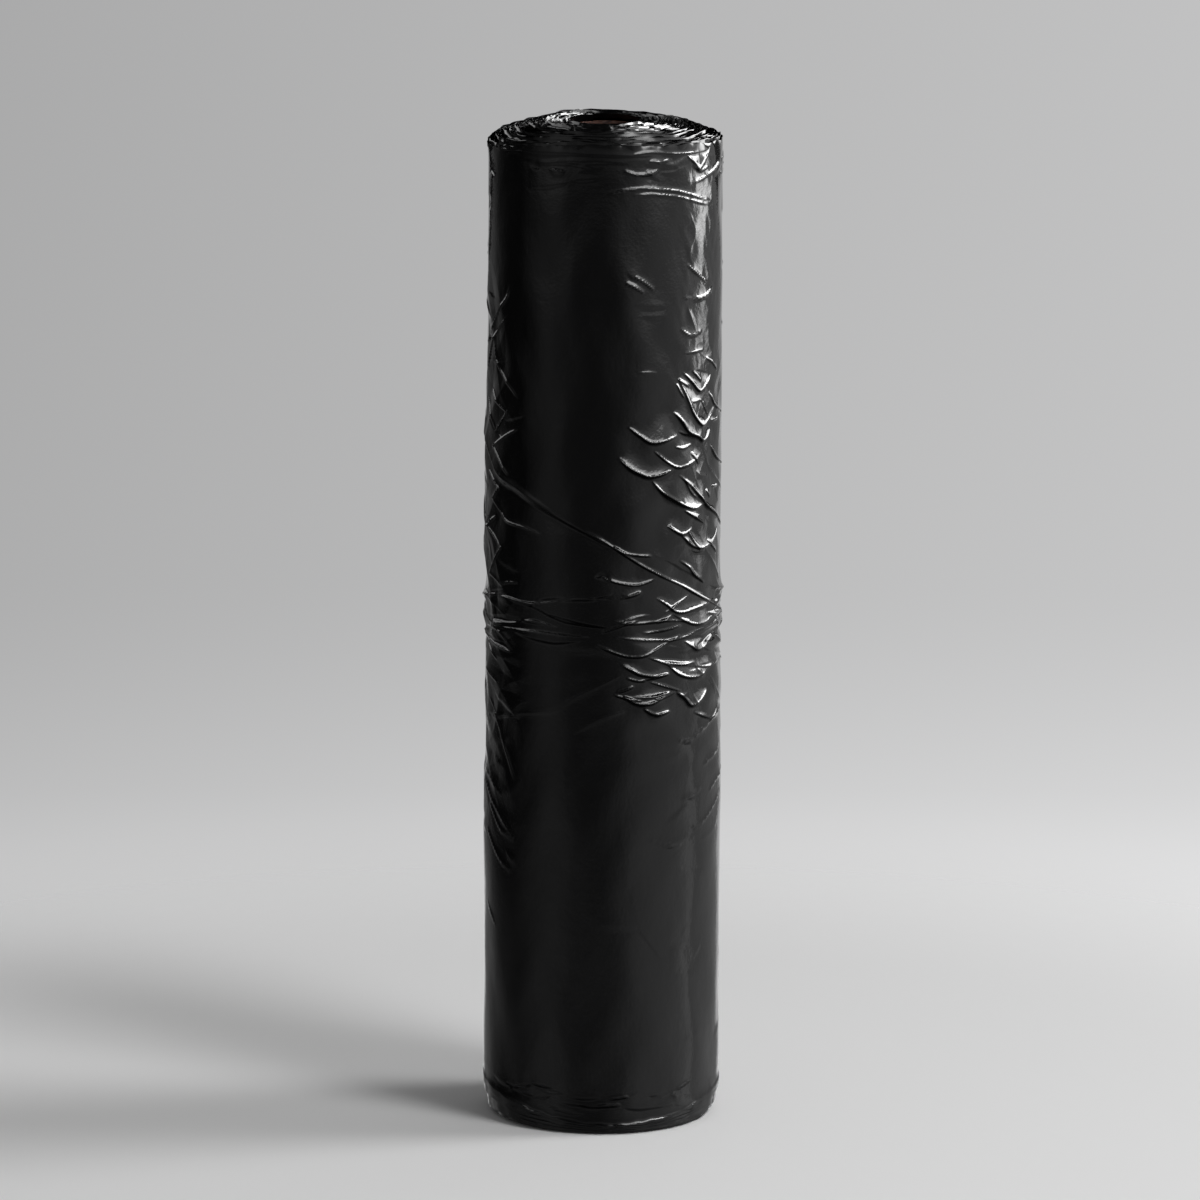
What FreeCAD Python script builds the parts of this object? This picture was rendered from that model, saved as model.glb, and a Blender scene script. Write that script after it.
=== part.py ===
"""Roll of folded polyethylene sheeting, wound on a board core tube and standing on its end.

The sheet is one continuous spiral, so the roll is one solid. Its ends are telescoped: the turns
step up to a dome at the top, and the outer turns end above the floor at the foot. The outermost
lap ends in a straight edge down the back, and the skin is gathered round the waist.
Frame: origin at the middle of the foot, +Z up, -Y front. A turn number s counts turns of the
spiral from the mouth outwards, and its fraction is the way round from the lap.
"""
import FreeCAD, Part
from collections import namedtuple
import math
import os
from FreeCAD import Vector

os.makedirs("parts", exist_ok=True)

# ---- the sheet and its winding, mm and degrees ---------------------------------------------
ROLL_HEIGHT = 762.0        # folded width of the sheet, floor to the crown of the dome
ROLL_RADIUS = 89.6         # outermost turn at its free edge, away from its rims and folds
TURNS = 14                 # turns drawn, each one a bundle of film thicknesses
TURN_RATIO = 0.875         # width of a bundle as a share of the one inside it
LAP_ANGLE = 110.0          # where the free edge of the sheet lies, from +X

# ---- core tube -----------------------------------------------------------------------------
CORE_BORE = 50.8
CORE_WALL = 2.6
CORE_RECESS = 7.0          # top of the tube below the crown of the film
CORE_CLEARANCE = 0.2       # between the tube and the innermost film
MOUTH_OVERHANG = 1.6       # the innermost film leans in over the tube's end by this much
SPIRAL_START = 1.0         # the spiral starts this far inside the mouth, which trims it

# ---- telescoped ends -----------------------------------------------------------------------
DOME_DROP = 14.5           # outermost top edge below the crown
DOME_FLAT_RADIUS = 32.0    # the dome starts to fall outside this radius
DOME_POWER = 2.4
DOME_SWAY = 0.14           # the drop is larger by this share on the low side
DOME_LOW_SIDE = 180.0      # direction of that side, from +X
GROOVE_DEPTH = 1.8         # valley beside each turn's top edge
EDGE_LEAN = 0.5            # each edge leans out over the valley of the next turn
RUFFLE_HEIGHT = 0.9        # slow wander of the top edges up and down
FOOT_RISE = 20.0           # mean height of the outermost lower edge above the floor
FOOT_TURNS = 2             # turns that step up from the floor to that edge
FOOT_POWER = 0.7           # the first step up is the tallest
FOOT_SWAY = 0.42           # the step edges dip by this share on their low side
FOOT_LOW_SIDE = -63.0      # direction of that side, from +X
FOOT_GROOVE_WIDTH = 0.8    # between the flat lands that stand on the floor
FOOT_GROOVE_DEPTH = 1.0

# ---- the skin: fold lines that run round the outermost turn, from the foot upwards ----------
TOP_DRAW = 1.0             # the winding is this much tighter under its upper rim
TOP_FLARE = -0.6           # the cut edges spread out by this much, or draw in if negative
FOOT_FLARE = 1.2
FLARE_REACH = 15.0         # height of each flare
EDGE_WAVE = 0.25           # in and out wander of the edges

# level: mean height of the line, as a share of the roll's; tilt: how much lower it runs, as such
# a share, at the side that downhill names; depth: how far it is pressed in, or stands out if
# negative, most at deepest and opposite it.
FoldLine = namedtuple("FoldLine", "level tilt downhill depth deepest")
FOLD_LINES = [
    FoldLine(0.340, 0.010, 180.0, -1.2, 0.0),
    FoldLine(0.394, 0.016, 180.0, 0.4, -40.0),
    FoldLine(0.440, 0.008, 0.0, -1.0, 180.0),
    FoldLine(0.465, 0.006, 0.0, -1.6, -80.0),
    FoldLine(0.479, 0.006, 10.0, 1.0, 0.0),
    FoldLine(0.490, 0.009, 10.0, -2.0, -75.0),
    FoldLine(0.502, 0.012, 10.0, 1.2, -5.0),
    FoldLine(0.533, 0.036, 12.0, -1.8, -100.0),
    FoldLine(0.575, 0.071, 12.0, 2.2, -95.0),
    FoldLine(0.603, 0.072, 12.0, -0.6, -95.0),
    FoldLine(0.664, 0.045, 60.0, 0.3, -100.0),
    FoldLine(0.732, 0.018, 150.0, 0.6, -160.0),
    FoldLine(0.842, 0.012, 20.0, 0.8, 0.0),
]

# ---- points of a smooth curve in one turn ----------------------------------------------------
EDGE_SPANS = 28
FOOT_SPANS = 16
SKIN_SPANS = 24

FULL_TURN = 2.0 * math.pi
MOUTH_RADIUS = CORE_BORE / 2 + CORE_WALL - MOUTH_OVERHANG
SEAT_RADIUS = CORE_BORE / 2 + CORE_WALL + CORE_CLEARANCE
CORE_LENGTH = ROLL_HEIGHT - CORE_RECESS
START_RADIUS = MOUTH_RADIUS - SPIRAL_START


# ---- the spiral ------------------------------------------------------------------------------
def turn_radius(s):
    """Bundles narrow outwards by TURN_RATIO, from the mouth to the outer turn."""
    grown = (1 - TURN_RATIO ** s) / (1 - TURN_RATIO ** TURNS)
    return START_RADIUS + (ROLL_RADIUS - START_RADIUS) * grown


def turn_angle(s):
    return math.radians(LAP_ANGLE) + FULL_TURN * s


def edge_radius(s, flare):
    """Radius of a turn's cut edge."""
    return turn_radius(s) + flare + EDGE_WAVE * math.sin(FULL_TURN * 3.07 * s)


def ruffle(s):
    """Edges nest, so each turn's wander follows the one inside it with a slow drift."""
    long_wave = math.sin(FULL_TURN * 4.06 * s)
    short_wave = math.sin(FULL_TURN * 6.93 * s + 1.0)
    return RUFFLE_HEIGHT * (0.65 * long_wave + 0.35 * short_wave)


def top_height(s):
    """Top edge of the turn: a flat crown, then a dome that falls to the outer rim."""
    out = max(0.0, turn_radius(s) - DOME_FLAT_RADIUS) / (ROLL_RADIUS - DOME_FLAT_RADIUS)
    sway = DOME_SWAY * math.cos(turn_angle(s) - math.radians(DOME_LOW_SIDE))
    return ROLL_HEIGHT - RUFFLE_HEIGHT - DOME_DROP * out ** DOME_POWER * (1 + sway) + ruffle(s)


def foot_height(s):
    """Lower edge of the turn: on the floor, then stepping up over the outer turns."""
    climbed = max(0.0, s - (TURNS - FOOT_TURNS)) / FOOT_TURNS
    sway = FOOT_SWAY * math.cos(turn_angle(s) - math.radians(FOOT_LOW_SIDE))
    return FOOT_RISE * climbed ** FOOT_POWER * (1 - sway)


def at(s, radius, height):
    angle = turn_angle(s)
    return Vector(radius * math.cos(angle), radius * math.sin(angle), height)


def top_ridge(s):
    return at(s, edge_radius(s, TOP_FLARE), top_height(s))


def top_valley(s):
    """Foot of the wall that rises to the ridge of the turn inside."""
    return at(s, edge_radius(s - 1, TOP_FLARE) - EDGE_LEAN, top_height(s) - GROOVE_DEPTH)


def foot_ridge(s):
    return at(s, edge_radius(s, FOOT_FLARE), foot_height(s))


def foot_valley(s):
    radius = edge_radius(s - 1, FOOT_FLARE) - EDGE_LEAN
    return at(s, radius, foot_height(s) + FOOT_GROOVE_DEPTH)


def foot_land(s):
    """Inner edge of the flat strip that the turn stands on."""
    return at(s, edge_radius(s - 1, FOOT_FLARE) + FOOT_GROOVE_WIDTH, foot_height(s))


# ---- the skin --------------------------------------------------------------------------------
def fold_place(line):
    """The place of a fold line at s, on the outermost turn."""
    def place(s):
        angle = turn_angle(s)
        level = line.level - line.tilt * math.cos(angle - math.radians(line.downhill))
        share = 0.6 + 0.4 * math.cos(2 * (angle - math.radians(line.deepest)))
        return at(s, turn_radius(s) - line.depth * share, ROLL_HEIGHT * level)
    return place


def foot_flare(s):
    return at(s, turn_radius(s), foot_height(s) + FLARE_REACH)


def top_flare(s):
    return at(s, turn_radius(s) - TOP_DRAW, top_height(s) - FLARE_REACH)


def skin_places():
    """Every line round the skin, between its lower and its upper edge."""
    return [foot_flare] + [fold_place(line) for line in FOLD_LINES] + [top_flare]


# ---- curves and faces --------------------------------------------------------------------------
def spiral_curves(place, breaks, spans):
    """Smooth curves through place(s), one for each stretch between breaks, with s as parameter."""
    curves = []
    for first, last in zip(breaks, breaks[1:]):
        steps = [first + i / spans for i in range((last - first) * spans + 1)]
        curve = Part.BSplineCurve()
        curve.interpolate(Points=[place(s) for s in steps], Parameters=steps)
        curves.append(curve)
    return curves


def piece_of(curves, first, last):
    """The edge from first to last, cut from the stretch that holds it."""
    for curve in curves:
        if first >= curve.FirstParameter - 1e-9 and last <= curve.LastParameter + 1e-9:
            return curve.toShape(first, last)


def foot_strip(inner, outer, turn):
    """The strip between two spiral edges, a true plane in the turns that stand on the floor."""
    if turn >= TURNS - FOOT_TURNS:
        return Part.makeRuledSurface(inner, outer)
    start = Part.makeLine(inner.firstVertex().Point, outer.firstVertex().Point)
    finish = Part.makeLine(inner.lastVertex().Point, outer.lastVertex().Point)
    return Part.Face(Part.Wire([inner, finish, outer, start]))


def turn_faces(curves, turn, first, last):
    """One turn's faces at both ends of the roll, from s = first to last."""
    arcs = {name: piece_of(stretches, first, last) for name, stretches in curves.items()}
    faces = [
        Part.makeRuledSurface(arcs["top_valley"], arcs["top_ridge"]),
        Part.makeRuledSurface(arcs["foot_valley"], arcs["foot_land"]),
        foot_strip(arcs["foot_land"], arcs["foot_ridge"], turn),
    ]
    if turn == 0:
        faces.append(Part.makeRuledSurface(arcs["foot_valley"], arcs["top_valley"]))
    if turn < TURNS - 1:
        for end in ("top", "foot"):
            valley = piece_of(curves[end + "_valley"], first + 1, last + 1)
            faces.append(Part.makeRuledSurface(valley, arcs[end + "_ridge"]))
    return faces


def skin_faces(curves, skin, first, last):
    """Strips of the skin between one fold line and the next."""
    lines = [piece_of(curves["foot_ridge"], first, last)]
    lines += [piece_of(line, first, last) for line in skin]
    lines.append(piece_of(curves["top_ridge"], first, last))
    return [Part.makeRuledSurface(low, high) for low, high in zip(lines, lines[1:])]


def section_face(start):
    """The roll cut by a half plane through its axis, every turn showing."""
    corners = []
    for turn in range(TURNS):
        s = start + turn
        corners += [foot_valley(s), foot_land(s), foot_ridge(s)]
    corners += [place(s) for place in skin_places()]
    for turn in reversed(range(TURNS)):
        s = start + turn
        corners += [top_ridge(s), top_valley(s)]
    return Part.Face(Part.makePolygon(corners + corners[:1]))


def half_roll(curves, skin, start):
    """Half of every turn, from start to start + 0.5 of a turn past the lap."""
    faces = [section_face(start), section_face(start + 0.5)]
    for turn in range(TURNS):
        faces += turn_faces(curves, turn, turn + start, turn + start + 0.5)
    outermost = TURNS - 1 + start
    faces += skin_faces(curves, skin, outermost, outermost + 0.5)
    joined = Part.makeCompound(faces)
    joined.sewShape()
    solid = Part.Solid(joined.Shells[0])
    if solid.Volume < 0:
        solid.reverse()
    return solid


def film_roll():
    """Two half rolls joined, which leaves the lap step at the back, then the core's seat."""
    foot_breaks = [0, TURNS - FOOT_TURNS, TURNS]
    curves = {
        "top_ridge": spiral_curves(top_ridge, [0, TURNS], EDGE_SPANS),
        "top_valley": spiral_curves(top_valley, [0, TURNS], EDGE_SPANS),
        "foot_ridge": spiral_curves(foot_ridge, foot_breaks, FOOT_SPANS),
        "foot_land": spiral_curves(foot_land, foot_breaks, FOOT_SPANS),
        "foot_valley": spiral_curves(foot_valley, foot_breaks, FOOT_SPANS),
    }
    skin = [spiral_curves(place, [TURNS - 1, TURNS], SKIN_SPANS) for place in skin_places()]
    wound = half_roll(curves, skin, 0.0).fuse(half_roll(curves, skin, 0.5))
    mouth = Part.makeCylinder(MOUTH_RADIUS, 2 * ROLL_HEIGHT, Vector(0, 0, -ROLL_HEIGHT))
    seat = Part.makeCylinder(SEAT_RADIUS, CORE_LENGTH + CORE_CLEARANCE)
    return wound.cut(mouth).cut(seat)


def core_tube():
    outside = Part.makeCylinder(CORE_BORE / 2 + CORE_WALL, CORE_LENGTH)
    return outside.cut(Part.makeCylinder(CORE_BORE / 2, CORE_LENGTH))


for name, shape in (("film_roll", film_roll()), ("core_tube", core_tube())):
    solid = shape.Solids[0]
    print(name, "solids", len(shape.Solids), "valid", solid.isValid(), "volume", round(solid.Volume))
    solid.exportStep("parts/" + name + ".step")
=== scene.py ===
"""Looks of a roll of black polyethylene sheeting: wrinkled skin, telescoped ends and board core.

Shapes repeat the part's own spiral, so the skin and both ends meet exactly. Bearings are degrees
from the front (-Y), positive towards +X, and heights are mm above the floor.
"""
from collections import namedtuple
import math

import bpy
import numpy as np
from mathutils import Matrix, Vector

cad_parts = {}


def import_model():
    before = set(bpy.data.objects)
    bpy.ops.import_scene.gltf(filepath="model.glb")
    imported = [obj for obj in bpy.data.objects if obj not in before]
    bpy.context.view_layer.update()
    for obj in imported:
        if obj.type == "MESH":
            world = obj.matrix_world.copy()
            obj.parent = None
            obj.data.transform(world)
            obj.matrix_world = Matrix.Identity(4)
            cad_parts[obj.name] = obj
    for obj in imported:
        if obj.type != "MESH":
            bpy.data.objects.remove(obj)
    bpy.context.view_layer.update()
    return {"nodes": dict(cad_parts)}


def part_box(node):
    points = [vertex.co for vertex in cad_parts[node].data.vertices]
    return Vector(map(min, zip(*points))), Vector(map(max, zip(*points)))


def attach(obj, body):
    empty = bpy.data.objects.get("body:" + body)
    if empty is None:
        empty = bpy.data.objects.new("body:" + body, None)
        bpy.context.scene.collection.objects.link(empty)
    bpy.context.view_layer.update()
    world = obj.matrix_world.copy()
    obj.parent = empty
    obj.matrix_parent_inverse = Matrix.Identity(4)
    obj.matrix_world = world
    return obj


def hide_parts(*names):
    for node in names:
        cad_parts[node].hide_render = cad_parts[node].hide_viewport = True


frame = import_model()

MM = 0.001
FULL_TURN = 2.0 * math.pi

# ---- the winding, as the part has it, mm and degrees ----
ROLL_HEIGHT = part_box("film_roll")[1].z / MM
ROLL_RADIUS = 89.6  # outermost turn at its free edge, away from its rims and folds
START_RADIUS = 25.4
MOUTH_RADIUS = 26.4
TURNS = 14  # each one a bundle of film thicknesses
TURN_RATIO = 0.875  # width of a bundle as a share of the one inside it
LAP_ANGLE = 110.0  # where the free edge of the sheet lies, from +X
DOME_DROP = 14.5  # outermost top edge below the crown
DOME_FLAT_RADIUS = 32.0  # the dome falls outside this
DOME_POWER = 2.4
DOME_SWAY = 0.14  # share by which the low side drops more
DOME_LOW_SIDE = 180.0  # direction of that side, from +X
RUFFLE_HEIGHT = 0.9  # slow wander of the top edges up and down
RUFFLE_WAVES = ((0.65, 4.06, 0.0), (0.35, 6.93, 1.0))  # share of it, waves in a turn and phase
EDGE_WAVE = 0.25  # in and out wander of the edges
EDGE_WAVES = 3.07  # of it in a turn
FOOT_RISE = 20.0  # of the outermost lower edge above the floor
FOOT_TURNS = 2  # turns that step up from the floor to that edge
FOOT_POWER = 0.7  # the first step up is the tallest
TOP_DRAW = 1.0  # the winding is this much tighter under its upper rim
TOP_FLARE = -0.6  # the cut edges spread out by this much, or draw in if negative
FOOT_FLARE = 1.2
FLARE_REACH = 15.0  # height of each flare

# ---- what the looks add to it, mm and degrees ----
DOME_FRONT_LIFT = 0.55  # share of its drop that the front of the dome is spared
TOP_RAGGED = (0.45, 1.0)  # how far the upper edges stray in and out, and up and down
TOP_TURN_WAVE = 0.7  # one turn stands higher and the next lower by this much
TOP_TURN_PERIOD = 0.97  # half waves of that in a turn
TOP_SINK = 0.9  # keeps the highest flakes under the crown
RIM_RAGGED = (0.4, 0.7)  # finer flakes of the outer turns
RIM_TURNS = 6.0  # they start this many turns in from the skin
RIM_GROWTH = 3.0  # and take this many to grow
CRUMPLE_HEIGHT = 1.3  # pinched spot in front of the mouth
CRUMPLE_BEARING = 5.0
CRUMPLE_WIDTH = 1.6
CRUMPLE_RADII = (44.0, 15.0)  # its middle and half its length
FIN_DEPTH = 3.4  # valley between two film edges
FIN_UNEVEN = 0.35  # share by which that varies
FIN_WALL = 0.10  # slant of a valley's walls, as a share of the bundle's width
TOP_LIP = 0.42  # height of the bevel along each upper edge
TOP_BEVEL = 0.16  # how far it leans
BEVEL_TWIST = 1.2  # how quickly it goes from none to all of that
BEVEL_LEAST = 0.15
MIDDLE_STRAY = 0.12  # share of a bundle's width by which its middle edge strays
MIDDLE_RAGGED = 0.8
MIDDLE_SINK = 0.6
NARROW_BUNDLE = 5.0  # in a narrower bundle the middle edge sinks out of sight
NARROW_SINK = 2.5
FOOT_LOBES = (1.31, -0.385, -0.3, -0.49)  # how the steps rise and fall round the foot
FOOT_RAGGED = (0.4, 0.7)  # how far the lower edges stray in and out, and up
FOOT_LAYERS = 2  # loose film edges between two steps
FOOT_BULGE = ((0.25, 0.04), (0.70, 0.04))  # how far a layer swells, by share of its height
FOOT_UNDERCUT = 0.09  # and how far it is drawn in under the next edge
LAYER_STRAY = 0.12  # share of a step by which a loose edge strays
LAYER_RAGGED = (0.3, 0.5)
LAYER_POWER = 2.5  # loose edges crowd outwards by this
LOOSE_STEP = 6.0  # loose edges of a step this high are fully ragged
FOOT_TUCK = 6.5  # the turns inside draw in towards the floor
TUCK_START = 8.0  # from this turn on
TUCK_GROWTH = 4.0  # growing over this many
TUCK_RELEASE = 0.3  # and let out over this much of the turn that steps up
FOOT_CURL = 0.9  # the skin's lower edge curls out
CURL_REACH = 1.8
EDGE_REACH = 2.0  # an edge's raggedness dies away up the skin within this
DRAW_START = 640.0  # where the skin starts to draw in under its upper rim
DRAW_REACH = 80.0
FOLD_FADE = 10.0  # the skin's folds fade out this close to its edges

# ---- meshes ----
SKIN_COLUMNS = 500
BAND_ROWS = 190  # in each of these pieces, from the foot upwards
SKIN_BANDS = ("film_skin_foot", "film_skin_shin", "film_skin_waist", "film_skin_top")
# The skin's rows and columns are closest above the waist and across the front: share of them, place.
ROW_SPREAD = (
    (0.0, 0.02, 0.08, 0.24, 0.82, 0.89, 0.98, 1.0),
    (0.0, 0.012, 0.06, 0.40, 0.80, 0.90, 0.99, 1.0),
)
COLUMN_SPREAD = ((0.0, 0.10, 0.30, 0.87, 1.0), (0.0, 0.18, 0.36, 0.69, 1.0))
TOP_COLUMNS = 540  # in one turn
FOOT_COLUMNS = 260
TOP_CREASE = 12.0  # degrees between faces that meet in a sharp line
FOOT_CREASE = 14.0


# ---- waves ----
def triangle(phase):
    """Sharp wave between -1 and 1, with a period of 1."""
    return 4.0 * np.abs(phase - np.floor(phase) - 0.5) - 1.0


def hills(around, up, seed, counts, length, waves=14):
    """Smooth random hills about 1 high. Whole counts of waves go round, so they close."""
    rng = np.random.default_rng(seed)
    total = np.zeros(np.broadcast(around, up).shape)
    for _ in range(waves):
        count = rng.integers(counts[0], counts[1] + 1) * rng.choice([-1, 1])
        climb = rng.uniform(0.3, 1.0) / length
        total += np.cos(FULL_TURN * (count * around + climb * up + rng.random()))
    return total / math.sqrt(waves / 2.0)


def bump_mask(value, middle, half_width):
    """1 at middle, falling smoothly to nothing."""
    return np.exp(-(((value - middle) / half_width) ** 4))


def patch_mask(bearing, height, across, up):
    """1 in the middle of a patch of the skin. across and up: its middle and half its size."""
    turned = (bearing - across[0] + 180.0) % 360.0 - 180.0
    return bump_mask(turned, 0.0, across[1]) * bump_mask(height, *up)


# ---- the spiral ----
def turn_radius(s):
    grown = (1 - TURN_RATIO ** s) / (1 - TURN_RATIO ** TURNS)
    return START_RADIUS + (ROLL_RADIUS - START_RADIUS) * grown


def turn_angle(s):
    return math.radians(LAP_ANGLE) + FULL_TURN * s


def bearing_of(angle):
    """Degrees from the front for an angle of the spiral."""
    return (np.degrees(angle) + 90.0 + 180.0) % 360.0 - 180.0


def edge_radius(s, flare):
    return turn_radius(s) + flare + EDGE_WAVE * np.sin(FULL_TURN * EDGE_WAVES * s)


def ruffle(s):
    return RUFFLE_HEIGHT * sum(
        share * np.sin(FULL_TURN * count * s + phase) for share, count, phase in RUFFLE_WAVES)


def flakes(s, seed, counts):
    """Ragged, pointed wave along a cut edge: each turn's flakes drift from those inside it."""
    rng = np.random.default_rng(seed)
    total = np.zeros(np.shape(s))
    for count in counts:
        drift = rng.uniform(-0.4, 0.4)
        swing = 0.35 * np.sin(FULL_TURN * (rng.integers(3, 9) + 0.3) * s + rng.uniform(0, 6.0))
        total += triangle((count + drift) * s + swing + rng.random())
    return total / len(counts)


def dome_height(s, bearing):
    """Height of the upper edges without their flakes: a dome that is fuller at the front."""
    out = np.maximum(0.0, turn_radius(s) - DOME_FLAT_RADIUS) / (ROLL_RADIUS - DOME_FLAT_RADIUS)
    sway = DOME_SWAY * np.cos(turn_angle(s) - math.radians(DOME_LOW_SIDE))
    fuller = 1.0 - DOME_FRONT_LIFT * np.maximum(0.0, np.cos(np.radians(bearing))) ** 2
    drop = DOME_DROP * out ** DOME_POWER * (1 + sway) * fuller
    return ROLL_HEIGHT - RUFFLE_HEIGHT - drop + ruffle(s)


def top_edge(s):
    """Radius and height of a turn's upper edge."""
    bearing = bearing_of(turn_angle(s))
    grown = np.clip(s, 0.0, 1.0)
    rim = np.clip((s - TURNS + RIM_TURNS) / RIM_GROWTH, 0.0, 1.0)
    radius = edge_radius(s, TOP_FLARE) + grown * TOP_RAGGED[0] * flakes(s, 3, (5, 9, 16))
    radius += rim * RIM_RAGGED[0] * flakes(s, 7, (21, 34))
    alternate = TOP_TURN_WAVE * np.cos(math.pi * TOP_TURN_PERIOD * s)
    height = dome_height(s, bearing) - TOP_SINK
    height += grown * (TOP_RAGGED[1] * flakes(s, 5, (4, 7, 13)) + alternate)
    crumple = np.exp(-((bearing - CRUMPLE_BEARING) / CRUMPLE_WIDTH) ** 2)
    crumple *= bump_mask(radius, *CRUMPLE_RADII)
    return radius, height + rim * RIM_RAGGED[1] * flakes(s, 9, (19, 31)) + CRUMPLE_HEIGHT * crumple


def foot_edge(s):
    """Radius and height of a turn's lower edge."""
    stepped = np.maximum(0.0, s - (TURNS - FOOT_TURNS))
    around = np.radians(bearing_of(turn_angle(s)))
    even, front, right, sides = FOOT_LOBES
    lobes = even + front * np.cos(around) + right * np.sin(around) + sides * np.cos(2.0 * around)
    height = FOOT_RISE * (stepped / FOOT_TURNS) ** FOOT_POWER * lobes
    released = np.minimum(1.0, stepped / TUCK_RELEASE)
    tucked = np.clip((s - TUCK_START) / TUCK_GROWTH, 0.0, 1.0) * (1.0 - released)
    radius = edge_radius(s, FOOT_FLARE) - FOOT_TUCK * tucked + FOOT_RAGGED[0] * flakes(s, 11, (9, 17, 29))
    height += np.minimum(1.0, stepped) * FOOT_RAGGED[1] * (1.0 + flakes(s, 13, (9, 17, 31)))
    return radius, height


# ---- folds of the skin ----
# Bands that the winding tension has pushed in or out all round, as the part has them.
FoldLine = namedtuple("FoldLine", "level tilt downhill depth deepest")
FOLD_LINES = [FoldLine(*line) for line in (
    (0.340, 0.010, 180.0, -1.2, 0.0),
    (0.394, 0.016, 180.0, 0.4, -40.0),
    (0.440, 0.008, 0.0, -1.0, 180.0),
    (0.465, 0.006, 0.0, -1.6, -80.0),
    (0.479, 0.006, 10.0, 1.0, 0.0),
    (0.490, 0.009, 10.0, -2.0, -75.0),
    (0.502, 0.012, 10.0, 1.2, -5.0),
    (0.533, 0.036, 12.0, -1.8, -100.0),
    (0.575, 0.071, 12.0, 2.2, -95.0),
    (0.603, 0.072, 12.0, -0.6, -95.0),
    (0.664, 0.045, 60.0, 0.3, -100.0),
    (0.732, 0.018, 150.0, 0.6, -160.0),
    (0.842, 0.012, 20.0, 0.8, 0.0),
)]
BAND_SHARE = 0.8  # of their depth that the skin shows
BAND_CALM = (0.75, 62.0)  # they are flatter by this share at the front, and how far round that goes

FOLD_REACH = 16.0  # half widths that a fold reaches from its path
FOLD_TAPER = 0.6  # power of the sine that it tapers by along its path
FOLD_NARROWEST = 0.25  # share of its width that it keeps at its ends
PILLOW_SLOPE = 0.30  # steepest that a pillow gets above its roll
ROLL_SLOPE = 0.41  # of the thin roll along its crease
ROLL_WIDTH = 1.35  # mm
ROLL_FADE = 0.6  # the roll fades out where the fold has tapered below this share
LEAST_RUN = 0.75  # a crease that climbs has a steeper roll, down to this cosine of its climb

# A fold has a kind, a height in mm, the half width of its steep side, and a path: the bearing and
# height of each point in turn. All but a ridge run from left to right.
# shelf: a small step that faces up. ledge: one that faces down. lip: a pillow that swells down to a
# crease, ends there in a thin roll and tucks in under it. ridge stands out, groove is pressed in.
Fold = namedtuple("Fold", "kind size width path")


def fold_kind(kind):
    return lambda size, width, *path: Fold(kind, size, width, list(zip(path[::2], path[1::2])))


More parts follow.
